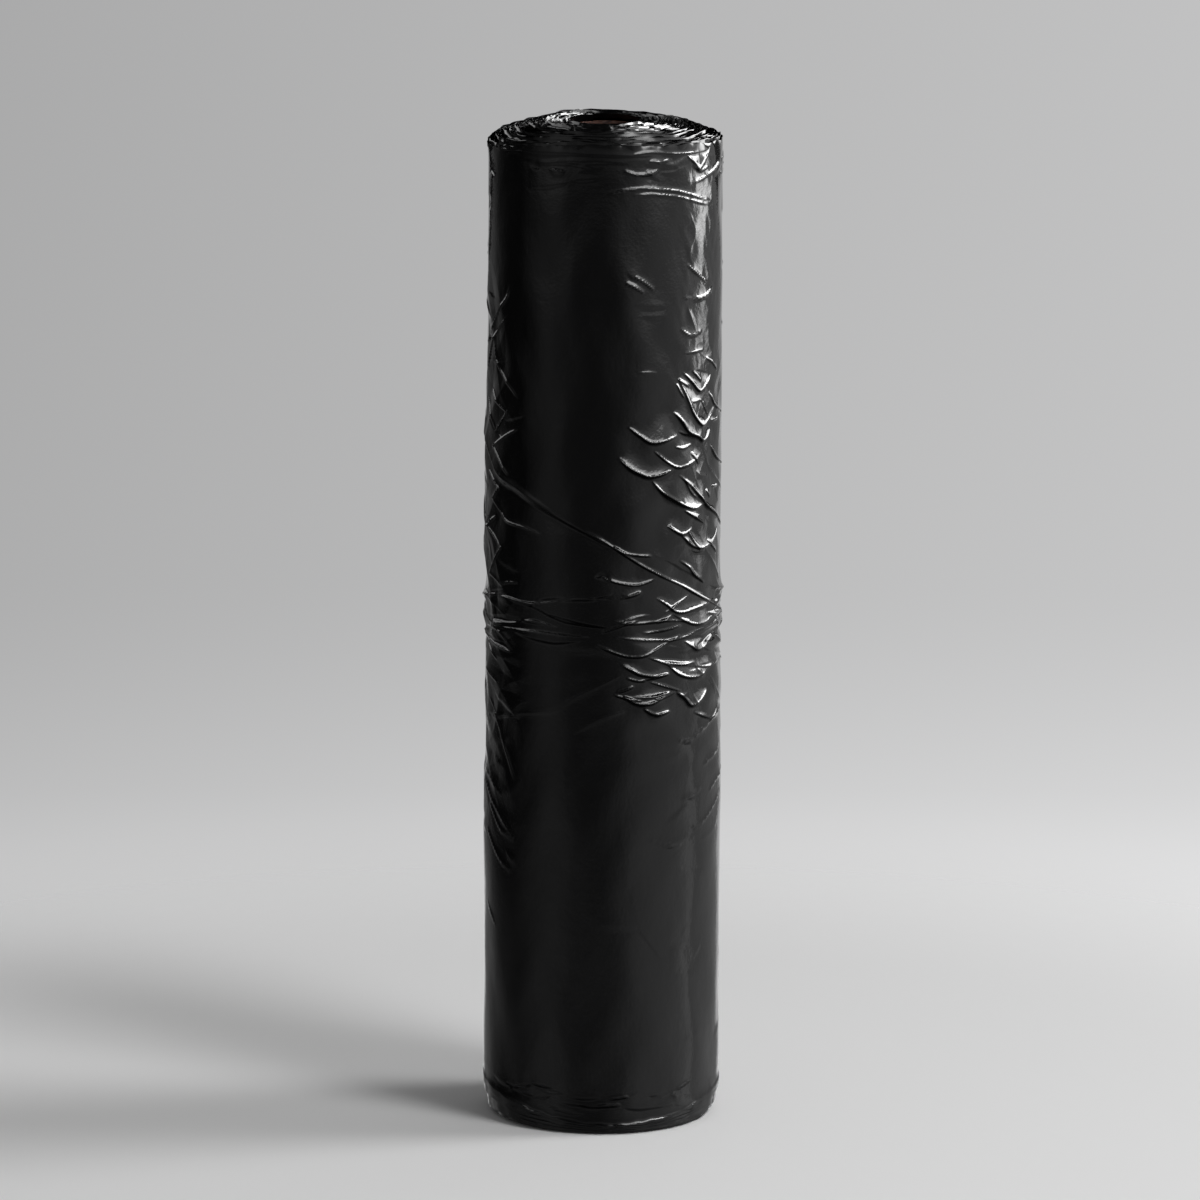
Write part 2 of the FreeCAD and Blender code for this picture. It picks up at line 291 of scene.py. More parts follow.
shelf, ledge, lip, ridge, groove = map(fold_kind, ("shelf", "ledge", "lip", "ridge", "groove"))
FOLDS = [
    # the long fold that comes down from the left and ends at the waist on the right
    ledge(3.0, 2.4, -110, 530, -88, 522, -74, 507, -66, 499, -59, 493, -49, 488, -39, 482, -30, 476,
        -17, 467, -8, 460, 3, 450),
    ridge(0.9, 1.8, -80, 518, -73, 509, -67, 502, -58, 496, -46, 490, -36, 484, -24, 475),
    lip(0.5, 3.2, -10, 463, -1, 456, 11, 444, 21, 434, 33, 424, 45, 415, 60, 402),
    lip(0.5, 2.9, 5, 451, 12, 445, 25, 442),
    lip(0.5, 3.2, 40, 437, 46, 431, 50, 424, 58, 416),
    ledge(1.0, 1.6, 25, 443, 35, 436, 43, 429, 58, 417, 72, 409, 90, 401),
    lip(0.5, 3.2, 42, 417, 53, 408, 71, 396, 90, 386),
    # pillows above it, on the right
    lip(1.5, 5.0, 42, 579, 48, 571, 54, 563, 59, 567, 65, 573),
    ledge(0.6, 0.9, 42, 579, 52, 579, 64, 574),
    lip(2.0, 6.5, 39, 575, 44, 560, 48, 547, 55, 537, 63, 540, 70, 550),
    lip(3.0, 8.5, 36, 550, 41, 542, 45, 534, 52, 529, 57, 525, 65, 531),
    ridge(0.8, 1.4, 56, 527, 59, 516, 66, 500, 88, 478),
    lip(1.5, 7.0, 12, 541, 18, 534, 23, 529, 29, 529, 38, 532),
    lip(2.6, 8.0, 7, 518, 13, 510, 19, 505, 23, 503, 29, 504, 36, 507),
    lip(1.2, 6.0, 25, 522, 33, 512, 39, 508, 47, 510, 56, 515),
    lip(2.3, 7.0, 39, 502, 46, 494, 54, 483, 62, 473, 88, 452),
    lip(2.2, 7.0, 24, 500, 29, 491, 36, 484, 43, 478, 50, 475, 58, 477),
    lip(1.5, 5.0, 42, 475, 50, 468, 59, 461),
    lip(1.4, 6.0, 33, 464, 41, 457, 48, 460),
    lip(2.3, 7.0, 40, 457, 47, 448, 53, 444, 59, 444, 68, 448, 75, 455),
    ridge(0.9, 1.4, 58, 444, 66, 432, 80, 412),
    lip(0.5, 2.9, 48, 443, 53, 441, 59, 441),
    lip(1.4, 4.5, 62, 560, 70, 548, 84, 540),
    lip(1.5, 4.5, 64, 520, 72, 508, 86, 500),
    # scratches and short creases higher up
    lip(0.4, 2.4, 10, 650, 14, 647, 20, 641),
    lip(0.4, 2.4, 15, 654, 20, 649, 25, 643),
    ledge(0.5, 1.0, 11, 657, 14, 653, 17, 650),
    lip(0.5, 3.0, 42, 635, 52, 632, 58, 634, 67, 639),
    ledge(1.0, 1.2, 15, 632, 22, 630, 31, 630),
    ledge(0.7, 1.0, 18, 624, 25, 622, 31, 623),
    ridge(0.4, 0.8, 17, 582, 22, 582, 27, 581),
    lip(0.6, 3.5, 40, 612, 47, 606, 56, 608),
    ridge(0.6, 1.6, 45, 628, 48, 619, 51, 610),
    # under the upper rim
    lip(1.6, 4.5, 44, 742, 49, 736, 53, 731, 57, 736, 63, 745),
    ledge(0.8, 1.0, 45, 742, 52, 743, 62, 744),
    lip(0.5, 3.0, 48, 734, 54, 729, 61, 731),
    lip(0.3, 2.0, 9, 734, 14, 731, 18, 730, 23, 731, 28, 734),
    lip(0.3, 1.8, 14, 746, 24, 747, 34, 745, 44, 744, 52, 744),
    lip(0.3, 1.6, 22, 740, 28, 739, 33, 740),
    ledge(0.7, 0.9, 16, 731, 22, 729, 28, 725),
    ledge(0.6, 0.9, 20, 733, 25, 728),
    ledge(0.8, 1.2, -60, 748, -40, 745, -16, 746, 6, 745, 24, 744),
    ledge(0.7, 1.1, -46, 739, -26, 738, -4, 740, 12, 739),
    ledge(0.8, 1.1, -40, 718, -28, 720, -18, 724),
    lip(0.3, 1.9, 1, 717, 10, 719, 18, 720, 25, 719, 35, 717, 45, 713, 53, 709, 64, 704),
    lip(0.3, 1.9, 14, 715, 25, 715, 37, 712, 47, 708, 56, 704, 64, 702),
    lip(0.5, 2.9, -68, 743, -56, 744, -44, 746),
    lip(0.4, 2.6, 50, 721, 59, 724, 75, 731),
    ridge(0.3, 1.8, 46, 700, 50, 684, 46, 668, 52, 650, 58, 640),
    lip(0.5, 3.4, 44, 660, 52, 651, 60, 643),
    lip(0.5, 3.0, 48, 635, 56, 633, 66, 636),
    # chain of diamonds up the left side, each line lit from the left or from above
    lip(0.4, 2.4, -75, 600, -64, 619, -55, 632, -52, 642),
    lip(0.4, 2.4, -78, 572, -72, 594, -60, 610, -54, 618),
    lip(0.4, 2.4, -68, 596, -64, 580, -56, 570, -46, 558),
    lip(0.4, 2.6, -73, 560, -64, 551, -55, 546),
    lip(0.4, 2.6, -67, 528, -61, 536, -54, 547),
    lip(0.4, 2.4, -80, 552, -74, 541, -67, 530),
    lip(0.4, 2.2, -70, 516, -58, 526, -46, 535),
    lip(0.5, 3.0, -70, 517, -62, 510, -53, 498),
    lip(0.4, 2.4, -77, 497, -68, 490, -62, 485),
    lip(0.4, 2.4, -70, 476, -66, 481, -62, 487),
    lip(0.4, 2.6, -70, 478, -62, 470, -55, 463, -43, 461, -32, 457),
    lip(0.5, 2.8, -78, 457, -66, 449, -58, 441),
    lip(0.4, 2.4, -71, 419, -65, 430, -58, 443),
    lip(0.4, 2.4, -76, 452, -71, 459, -65, 465),
    lip(0.4, 2.4, -72, 420, -65, 417, -58, 413),
    lip(0.3, 2.0, -60, 414, -53, 417, -46, 418),
    # the waist, right of the middle: bright smiles between the fold's end and the gathers
    groove(0.9, 1.3, -4, 428, 0, 429, 4, 425),
    lip(0.6, 3.4, -1, 429, 4, 425, 11, 422, 18, 421, 27, 425),
    ledge(0.7, 1.4, 9, 414, 14, 412, 20, 414),
    lip(2.1, 6.0, 27, 410, 33, 404, 37, 399, 42, 397, 50, 398, 66, 401),
    lip(1.8, 5.5, 36, 397, 43, 391, 49, 387, 57, 386, 66, 389, 86, 390),
    lip(0.6, 3.4, 5, 394, 14, 392, 22, 392, 35, 393),
    ridge(0.7, 1.0, 10, 394, 17, 397, 24, 398),
    lip(0.5, 3.2, 20, 384, 30, 385, 42, 387),
    lip(0.6, 3.4, 6, 382, 15, 380, 26, 378, 36, 377, 44, 378, 52, 381, 64, 382, 86, 388),
    lip(0.6, 3.4, -3, 376, 3, 372, 8, 369, 13, 367, 20, 367, 27, 371, 41, 380),
    lip(1.5, 4.2, 43, 375, 54, 366, 63, 372),
    ledge(0.9, 1.2, 42, 376, 52, 377, 62, 373),
    lip(0.6, 3.6, 22, 366, 30, 361, 36, 358, 51, 357),
    lip(1.8, 6.0, 9, 361, 15, 356, 19, 353, 26, 351, 34, 352),
    lip(0.6, 3.4, 51, 354, 61, 352, 76, 353),
    lip(2.0, 6.5, 33, 359, 39, 351, 46, 347, 54, 346, 59, 349, 66, 354),
    lip(2.2, 6.0, 38, 337, 43, 332, 48, 325, 54, 327, 61, 334),
    ridge(0.5, 1.2, 38, 338, 42, 334, 46, 336),
    lip(1.6, 8.0, 10, 337, 17, 331, 25, 331, 35, 338),
    lip(1.7, 6.0, 50, 319, 60, 313, 69, 311, 84, 316),
    lip(1.2, 6.0, 20, 327, 26, 322, 34, 323),
    lip(1.9, 5.5, 39, 300, 44, 298, 49, 299, 54, 303, 63, 308, 76, 320),
    lip(0.7, 4.0, 58, 276, 67, 281, 78, 286),
    lip(0.7, 4.0, 64, 255, 73, 262, 86, 268),
    ridge(0.7, 1.6, 64, 344, 72, 330, 84, 318),
    ridge(0.8, 1.4, 70, 376, 80, 366, 92, 360),
    ridge(0.8, 1.4, 66, 402, 78, 396, 92, 396),
    # the waist, left of the middle: long dark pleats that run into the gathers
    shelf(1.5, 1.1, -95, 400, -80, 399, -58, 406, -38, 405, -14, 411, 4, 411),
    ledge(1.5, 1.3, -39, 401, -30, 408, -17, 410, -5, 411, 5, 415),
    ledge(1.4, 1.2, -54, 405, -37, 402, -26, 396, -17, 392, 2, 389),
    ledge(1.4, 1.2, -78, 386, -58, 390, -45, 390, -30, 389),
    shelf(1.2, 0.9, -71, 385, -52, 387, -36, 392, -22, 388),
    ledge(1.3, 1.2, -27, 398, -15, 394, -5, 391, 5, 389),
    ledge(1.4, 1.4, -48, 380, -33, 377, -23, 376, -10, 379),
    shelf(1.0, 1.0, -70, 381, -50, 383, -33, 384, -18, 383, -6, 382),
    ridge(0.5, 1.2, -92, 397, -84, 400, -68, 408, -56, 412),
    lip(0.4, 2.4, -92, 399, -68, 404, -54, 409),
    ridge(0.6, 1.3, -90, 403, -77, 401, -66, 397, -56, 392),
    lip(0.4, 2.6, -92, 393, -82, 386, -73, 382, -58, 384),
    ridge(1.9, 4.5, -104, 394, -94, 400, -84, 402, -76, 402),
    ridge(1.7, 4.5, -108, 376, -94, 384, -84, 382),
    ridge(1.9, 4.0, 74, 402, 84, 404, 94, 404, 106, 398),
    ridge(1.6, 3.0, 74, 380, 84, 378, 94, 380, 104, 372),
    lip(0.6, 3.6, -80, 377, -63, 379, -54, 370, -50, 364),
    lip(0.5, 3.0, -79, 366, -71, 361, -63, 355),
    lip(0.5, 2.8, -79, 346, -71, 342, -63, 338),
    lip(0.5, 3.0, -74, 323, -64, 310, -56, 290, -48, 267),
    lip(0.4, 2.6, -78, 309, -60, 313, -45, 317),
    ledge(1.2, 1.4, -66, 329, -51, 319, -44, 314),
    lip(0.4, 2.6, -70, 244, -59, 226, -48, 221),
    lip(0.4, 2.4, -74, 224, -59, 203, -50, 196),
    # faint long pulls below the waist
    ridge(0.45, 1.8, -52, 317, -25, 325, -12, 337, 10, 354),
    ridge(0.4, 1.6, -14, 308, -1, 320, 12, 326),
    # marks lower down
    lip(0.6, 3.4, 42, 253, 48, 255, 56, 259),
    lip(0.6, 3.4, 47, 231, 56, 232, 64, 238, 78, 250),
    ridge(0.8, 1.3, -82, 270, -70, 262, -57, 252),
    ridge(1.0, 1.2, -80, 262, -62, 240, -46, 220),
    ridge(0.7, 1.2, -76, 168, -70, 160, -63, 150),
    ledge(0.5, 1.3, -2, 160, 8, 159, 20, 159),
    ledge(0.5, 1.2, 18, 158, 24, 146, 31, 132),
    # creases over the foot
    lip(0.4, 2.2, 4, 27, 9, 28, 14, 29),
    lip(0.4, 2.2, -2, 22, 4, 22, 10, 23),
    lip(0.4, 2.2, 40, 30, 45, 33, 50, 36),
    ledge(1.0, 1.2, -50, 30, -44, 27, -34, 26),
    ledge(1.0, 1.2, -66, 34, -58, 30, -50, 29),
    ledge(1.0, 1.3, -36, 36, -30, 34, -24, 34),
    ledge(1.0, 1.2, -24, 18, -14, 15, -8, 16),
    ledge(0.9, 1.2, -14, 28, -8, 27, 0, 28),
    ledge(0.9, 1.2, -20, 24, -10, 22, 4, 21),
    ledge(0.9, 1.2, 12, 20, 20, 18, 32, 19),
    ledge(0.8, 1.2, 24, 28, 32, 27, 38, 29),
]


# Small folds strewn over patches: seed, count, bearings, heights, length, heading (degrees that they
# climb to the right, and its spread), size, width, and the kinds to draw from.
MIXED = ("shelf", "shelf", "ledge", "ridge")
STEPS = ("shelf", "shelf", "ledge")
LIPS = ("lip",)
SCATTER = [
    # small breaks on the right, above the waist and below it, and in the bright strip
    (70, 16, (40, 72), (440, 600), (10, 26), (-28, 30), (0.5, 1.1), (2.4, 4.0), LIPS),
    (71, 16, (40, 78), (330, 600), (10, 28), (-24, 34), (0.3, 0.8), (1.0, 2.2), MIXED),
    (72, 44, (44, 64), (590, 742), (5, 14), (-8, 40), (0.04, 0.16), (1.0, 2.0), MIXED),
    (80, 14, (4, 40), (320, 420), (14, 34), (4, 24), (0.3, 0.7), (2.2, 3.6), LIPS),
    (73, 14, (30, 80), (60, 300), (10, 34), (12, 30), (0.2, 0.6), (1.0, 2.0), MIXED),
    # the left side
    (74, 20, (-88, -48), (200, 640), (12, 36), (-30, 50), (0.3, 0.9), (1.0, 1.8), MIXED),
    # round the sides and the back
    (75, 90, (95, 265), (270, 600), (14, 52), (-14, 28), (0.4, 1.2), (2.6, 4.0), STEPS),
    (76, 30, (80, 280), (60, 270), (14, 50), (0, 30), (0.2, 0.7), (2.4, 3.6), STEPS),
    (77, 30, (75, 285), (600, 735), (10, 46), (0, 24), (0.3, 0.9), (1.0, 2.0), MIXED),
    # short creases close to both rims
    (78, 40, (-180, 180), (722, 742), (8, 34), (0, 14), (0.3, 0.9), (0.8, 1.6), MIXED),
    (79, 44, (-180, 180), (18, 34), (8, 30), (0, 14), (0.3, 0.8), (0.8, 1.6), MIXED),
]
SAG = (-0.25, 0.1)  # how far a small fold's middle hangs or stands, as a share of its half length

# Pinched points on the side edges and at the back: seed, and bearing and height.
GATHERS = [
    (61, (-94, 397)), (62, (-90, 372)), (63, (92, 402)), (64, (94, 384)), (65, (90, 352)),
    (66, (176, 392)), (67, (-140, 378)), (68, (138, 388)),
]
PLEATS = 8  # that leave each of them
PLEAT_REACH = (18, 46)  # degrees
PLEAT_FAN = 16.0  # mm up or down at their ends
PLEAT_SIZE = (0.7, 1.5)
PLEAT_WIDTH = (1.1, 1.9)


def scattered_folds(seed, count, bearings, heights, length, heading, size, width, kinds):
    rng = np.random.default_rng(seed)
    folds = []
    for _ in range(count):
        b, h = rng.uniform(*bearings), rng.uniform(*heights)
        half = 0.5 * rng.uniform(*length)
        climb = math.radians(heading[0] + heading[1] * rng.uniform(-1.0, 1.0))
        across = np.degrees(half * math.cos(climb) / ROLL_RADIUS)
        rise = half * math.sin(climb)
        sag = rng.uniform(*SAG) * half
        kind = str(rng.choice(kinds))
        path = [(b - across, h - rise), (b, h + sag), (b + across, h + rise)]
        folds.append(Fold(kind, rng.uniform(*size), rng.uniform(*width), path))
    return folds


def gathered_folds(seed, node):
    """Pleats that leave one pinched point on both sides, fanning up and down."""
    rng = np.random.default_rng(seed)
    folds = []
    for i in range(PLEATS):
        way = -1 if i % 2 else 1
        far = way * rng.uniform(*PLEAT_REACH)
        rise = PLEAT_FAN * rng.uniform(-1.0, 1.0)
        steps = ((-6 * way, -0.1), (0.3 * far, 0.35), (0.65 * far, 0.6), (far, 1.0))
        path = [(node[0] + across, node[1] + climbed * rise) for across, climbed in steps]
        kind = ("shelf", "ledge", "ridge")[i % 3]
        size, width = rng.uniform(*PLEAT_SIZE), rng.uniform(*PLEAT_WIDTH)
        folds.append(Fold(kind, size, width, path if way > 0 else path[::-1]))
    return folds


def all_folds():
    folds = list(FOLDS)
    for gather in GATHERS:
        folds += gathered_folds(*gather)
    for patch in SCATTER:
        folds += scattered_folds(*patch)
    return folds


def smooth_path(points, steps=6):
    """A rounded line through given points, as arc length and height in mm."""
    p = np.array([(ROLL_RADIUS * math.radians(b), h) for b, h in points], float)
    p = np.vstack([2 * p[0] - p[1], p, 2 * p[-1] - p[-2]])
    line = []
    for a, b, c, d in zip(p, p[1:], p[2:], p[3:]):
        for i in range(steps):
            t = i / steps
            line.append(0.5 * (2 * b + (c - a) * t + (2 * a - 5 * b + 4 * c - d) * t ** 2
                               + (3 * b - a - 3 * c + d) * t ** 3))
    return np.array(line + [p[-2]])


def along_path(line, u, v):
    """Distance of points from a line, positive above it, how far along it they are, as a share, and
    how much steeper than on a level line a roll is there."""
    lengths = np.hypot(*np.diff(line, axis=0).T)
    best = np.full(u.shape, np.inf)
    side = np.zeros(u.shape)
    share = np.zeros(u.shape)
    steeper = np.ones(u.shape)
    total = lengths.sum()
    walked = 0.0
    for start, end, length in zip(line, line[1:], lengths):
        run = (end - start) / length
        du, dv = u - start[0], v - start[1]
        t = np.clip(du * run[0] + dv * run[1], 0.0, length)
        away = np.hypot(du - t * run[0], dv - t * run[1])
        closer = away < best
        best = np.where(closer, away, best)
        side = np.where(closer, run[0] * dv - run[1] * du, side)
        share = np.where(closer, (walked + t) / total, share)
        steeper = np.where(closer, 1.0 / max(abs(run[0]), LEAST_RUN), steeper)
        walked += length
    return best * np.sign(side), share, steeper


def add_fold(fold, bearing, height, offset):
    middle = 0.5 * (fold.path[0][0] + fold.path[-1][0])
    line = smooth_path([(b - middle, h) for b, h in fold.path])
    u = ROLL_RADIUS * np.radians((bearing - middle + 180.0) % 360.0 - 180.0)
    reach = FOLD_REACH * fold.width
    low, high = line.min(0) - reach, line.max(0) + reach
    near = np.nonzero((u > low[0]) & (u < high[0]) & (height > low[1]) & (height < high[1]))
    distance, share, steeper = along_path(line, u[near], height[near])
    taper = np.sin(math.pi * np.clip(share, 0.0, 1.0)) ** FOLD_TAPER
    x = distance / (fold.width * np.maximum(taper, FOLD_NARROWEST))
    if fold.kind == "lip":
        swell = min(fold.size, PILLOW_SLOPE * fold.width)
        slope = (ROLL_SLOPE * steeper - swell / fold.width) * np.clip(taper / ROLL_FADE, 0.0, 1.0)
        offset[near] += swell * taper * fold_profile("lip", x)
        offset[near] += slope * ROLL_WIDTH * thin_roll(distance / ROLL_WIDTH)
    else:
        offset[near] += fold.size * taper * fold_profile(fold.kind, x)


def thin_roll(x):
    """Even slope for one width above a crease, easing out above that and tucked in below."""
    eased = 0.5 * np.exp(2.0 - 2.0 * np.maximum(x, 1.0))
    tucked = 1.5 * np.exp(-4.0 * np.abs(x))
    return np.where(x > 0.0, np.where(x < 1.0, 1.5 - x, eased), tucked)


def fold_profile(kind, x):
    """Height of a fold across its path, for a distance x in half widths, positive above it."""
    if kind in ("shelf", "ledge"):
        step = 0.5 * np.tanh(x) * np.exp(-np.abs(x) / 6.0)
        return -step if kind == "shelf" else step
    if kind == "lip":
        return np.where(x > 0.0, np.exp(-np.abs(x)), np.exp(-5.0 * np.abs(x)))
    cusp = np.exp(-(np.sqrt(x ** 2 + 0.1) - 0.3))
    return cusp if kind == "ridge" else -cusp


def band_offset(bearing, height):
    """The part's fold lines, joined by eased slopes up the skin."""
    angle = np.radians(bearing - 90.0)
    flat = np.zeros(height.shape)
    lines = [(FLARE_REACH * 2 + flat, flat)]
    for line in FOLD_LINES:
        level = line.level - line.tilt * np.cos(angle - math.radians(line.downhill))
        share = 0.6 + 0.4 * np.cos(2 * (angle - math.radians(line.deepest)))
        lines.append((ROLL_HEIGHT * level, -line.depth * share))
    lines.append((ROLL_HEIGHT - DOME_DROP - FLARE_REACH + flat, flat))
    offset = flat
    for (low, first), (high, second) in zip(lines, lines[1:]):
        t = (height - low) / (high - low)
        inside = (t >= 0.0) & (t < 1.0)
        eased = t * t * (3 - 2 * t)
        offset = np.where(inside, first + (second - first) * eased, offset)
    return offset


# Buckled facets: seed, count round the roll and height of one.
WIDE_FACETS = (21, 12, 62.0)
SMALL_FACETS = (31, 15, 38.0)
# Their depth in mm and their patches, as bearing and height, each with half the patch's size.
FACET_PATCHES = [
    (WIDE_FACETS, 0.8, (-72, 26), (490, 150)),  # the left side
    (WIDE_FACETS, 0.64, (185, 60), (450, 150)),  # the back
    (SMALL_FACETS, 0.25, (58, 30), (490, 110)),  # the right side, above the waist and below it
    (SMALL_FACETS, 0.15, (62, 26), (290, 70)),
    (SMALL_FACETS, 0.6, (-66, 22), (310, 75)),  # the left side, below the waist
]
# Soft unevenness: size in mm, seed, waves round the roll, their length up it, how many, and its patch.
SWELLS = [
    (0.35, 41, (1, 6), 190.0, 14, None),
    (0.16, 43, (5, 16), 60.0, 14, None),
    (0.05, 47, (30, 70), 22.0, 18, ((54, 18), (640, 130))),  # streaks in the bright strip
    (0.55, 49, (7, 18), 34.0, 18, ((46, 34), (450, 150))),  # dents about the waist, on the right
]


def diamonds(around, height, seed, count, tall):
    """Pressed diamonds with sharp ridges between them, warped so that no two are alike."""
    warp = 0.22 * hills(around, height, seed, (2, 7), 120.0)
    drift = 0.22 * hills(around, height, seed + 1, (2, 7), 90.0)
    rising = triangle(count * around + height / tall + warp)
    falling = triangle(count * around - height / tall + drift)
    return np.maximum(rising, falling) + 0.35 * np.minimum(rising, falling)


def skin_offset(bearing, height):
    """How far the skin stands out of its smooth spiral, mm."""
    around = bearing / 360.0
    beside = 1.0 - BAND_CALM[0] * bump_mask(bearing, 0.0, BAND_CALM[1])
    offset = BAND_SHARE * beside * band_offset(bearing, height)
    for facets, depth, across, up in FACET_PATCHES:
        offset += depth * diamonds(around, height, *facets) * patch_mask(bearing, height, across, up)
    for size, seed, counts, length, waves, patch in SWELLS:
        mask = patch_mask(bearing, height, *patch) if patch else 1.0
        offset += size * mask * hills(around, height, seed, counts, length, waves)
    for fold in all_folds():
        add_fold(fold, bearing, height, offset)
    return offset


# ---- mesh building ----
def grid_mesh(name, points, normals=None, closed=False):
    """A mesh from rows of points. Closed rows join their last column to their first."""
    rows, columns = points.shape[:2]
    index = np.arange(rows * columns).reshape(rows, columns)
    if closed:
        index = np.hstack([index, index[:, :1]])
    quads = np.stack([index[:-1, :-1], index[:-1, 1:], index[1:, 1:], index[1:, :-1]], -1)
    mesh = bpy.data.meshes.new(name)
    mesh.from_pydata((points.reshape(-1, 3) * MM).tolist(), [], quads.reshape(-1, 4).tolist())
    mesh.polygons.foreach_set("use_smooth", np.ones(len(mesh.polygons), bool))
    if normals is not None:
        mesh.normals_split_custom_set_from_vertices(normals.reshape(-1, 3).tolist())
    mesh.update()
    piece = bpy.data.objects.new(name, mesh)
    bpy.context.scene.collection.objects.link(piece)
    return piece


def polar(radius, angle, height):
    return np.stack([radius * np.cos(angle), radius * np.sin(angle), height], -1)


def flare(distance):
    """1 at an edge of the skin, easing to nothing away from it."""
    return np.clip(1.0 - distance / FLARE_REACH, 0.0, 1.0) ** 1.5


def skin_points():
    """The outermost turn from its start under the lap to its free edge."""
    s = TURNS - 1 + np.interp(np.linspace(0.0, 1.0, SKIN_COLUMNS + 1), *COLUMN_SPREAD)
    smooth = turn_radius(s)
    foot_radius, foot_height = foot_edge(s)
    top_radius, top_height = top_edge(s)
    share = np.interp(np.linspace(0.0, 1.0, BAND_ROWS * len(SKIN_BANDS) + 1), *ROW_SPREAD)[:, None]
    height = foot_height + share * (top_height - foot_height)
    above, below = height - foot_height, top_height - height
    radius = smooth + flare(above) * (FOOT_FLARE - FOOT_CURL) + FOOT_CURL * np.exp(-above / CURL_REACH)
    drawn = np.clip((height - DRAW_START) / DRAW_REACH, 0.0, 1.0)
    radius = radius + flare(below) * (TOP_FLARE + TOP_DRAW) - TOP_DRAW * drawn
    radius += np.exp(-above / EDGE_REACH) * (foot_radius - smooth - FOOT_FLARE)
    radius += np.exp(-below / EDGE_REACH) * (top_radius - smooth - TOP_FLARE)
    fade = np.clip(above / FOLD_FADE, 0.0, 1.0) * np.clip(below / FOLD_FADE, 0.0, 1.0)
    angle = turn_angle(s) + np.zeros_like(height)
    radius += fade * skin_offset(bearing_of(angle), height)
    return polar(radius, angle, height)


def grid_normals(points):
    around = np.gradient(points, axis=1)
    up = np.gradient(points, axis=0)
    normals = np.cross(around, up)
    return normals / np.linalg.norm(normals, axis=-1, keepdims=True)


def film_skin(material):
    """The skin in bands, each within the limit on triangles, with normals that run on across them."""
    points = skin_points()
    normals = grid_normals(points)
    pieces = []
    for band, name in enumerate(SKIN_BANDS):
        rows = slice(band * BAND_ROWS, (band + 1) * BAND_ROWS + 1)
        pieces.append(grid_mesh(name, points[rows], normals[rows], closed=True))
    dress(pieces, material)


def bundle_edges(edge, s):
    """Radius and height of the edge inside a bundle of turns, then of its own edge."""
    inner_radius, inner_height = edge(np.maximum(s - 1.0, 0.0))
    first = s < 1.0
    inner_radius = np.where(first, MOUTH_RADIUS, inner_radius)
    inner_height = np.where(first, edge(np.zeros(1))[1], inner_height)
    return inner_radius, inner_height, *edge(s)


def bevel_twist(s, seed, counts, least):
    """How far a bevel leans: it turns over and back along the edge."""
    return TOP_BEVEL * np.clip(least + BEVEL_TWIST * flakes(s, seed, counts), 0.0, 1.0)


def top_rows(s):
    """Film edges that stand up, with deep upright valleys between them and thin bevels that twist."""
    inner_radius, inner_height, outer_radius, outer_height = bundle_edges(top_edge, s)
    width = outer_radius - inner_radius
    wall = FIN_WALL * width
    depth = FIN_DEPTH * (1.0 + FIN_UNEVEN * flakes(s, 200, (5, 9)))
    twist = bevel_twist(s, 205, (1, 2, 3), BEVEL_LEAST)
    middle_twist = bevel_twist(s, 215, (1, 2, 4), 0.0)
    middle = 0.5 * (inner_radius + outer_radius) + MIDDLE_STRAY * width * flakes(s, 210, (3, 5))
    middle_height = 0.5 * (inner_height + outer_height) + MIDDLE_RAGGED * flakes(s, 212, (4, 7, 11))
    middle_height = middle_height - MIDDLE_SINK - np.clip(NARROW_BUNDLE - width, 0.0, NARROW_SINK)
    return [
        (inner_radius, inner_height),
        (inner_radius + twist, inner_height - TOP_LIP),
        (inner_radius + wall, inner_height - depth),
        (middle - wall, middle_height - depth),
        (middle, middle_height),
        (middle + middle_twist, middle_height - TOP_LIP),
        (middle + wall, middle_height - depth),
        (outer_radius - wall, outer_height - depth),
        (outer_radius - 0.7 * twist, outer_height - TOP_LIP),
        (outer_radius, outer_height),
    ]


def foot_lips(s):
    """Film edges from the one inside a bundle to its own, with the loose ones between two steps."""
    inner_radius, inner_height, outer_radius, outer_height = bundle_edges(foot_edge, s)
    step = outer_height - inner_height
    loose = np.clip(step / LOOSE_STEP, 0.0, 1.0)
    lips = [(inner_radius, inner_height)]
    for layer in range(FOOT_LAYERS):
        share = (layer + 1) / (FOOT_LAYERS + 1) + LAYER_STRAY * flakes(s, 230 + layer, (2, 5))
        outward = 1.0 - np.maximum(0.0, 1.0 - share) ** LAYER_POWER
        radius = inner_radius + outward * (outer_radius - inner_radius)
        radius += LAYER_RAGGED[0] * loose * flakes(s, 240 + layer, (9, 16))
        height = inner_height + share * step + LAYER_RAGGED[1] * loose * flakes(s, 250 + layer, (8, 21))
        lips.append((radius, height))
    return lips + [(outer_radius, outer_height)]


def foot_rows(s):
    """Rounded film layers one above another, each undercut below the next."""
    lips = foot_lips(s)
    rows = []
    for (radius, height), (next_radius, next_height) in zip(lips, lips[1:]):
        gap = next_height - height
        rows.append((radius, height))
        for share, out in FOOT_BULGE:
            rows.append((radius + out * gap, height + share * gap))
        rows.append((next_radius - FOOT_UNDERCUT * gap, next_height))
    return rows + [lips[-1]]


def film_end(name, place_rows, columns, crease, material):
    """One end of the roll: rows of points that follow the spiral from its mouth to the skin."""
    s = np.arange(TURNS * columns + 1) / columns
    points = np.stack([polar(radius, turn_angle(s), height) for radius, height in place_rows(s)])
    piece = grid_mesh(name, points)
    piece.data.set_sharp_from_angle(angle=math.radians(crease))
    dress([piece], material)


def dress(pieces, material):
    """Gives the pieces their material and puts them in the frame for the part's roll."""
    for piece in pieces:
        piece.data.materials.append(material)
        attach(piece, "root")
        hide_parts("film_roll")


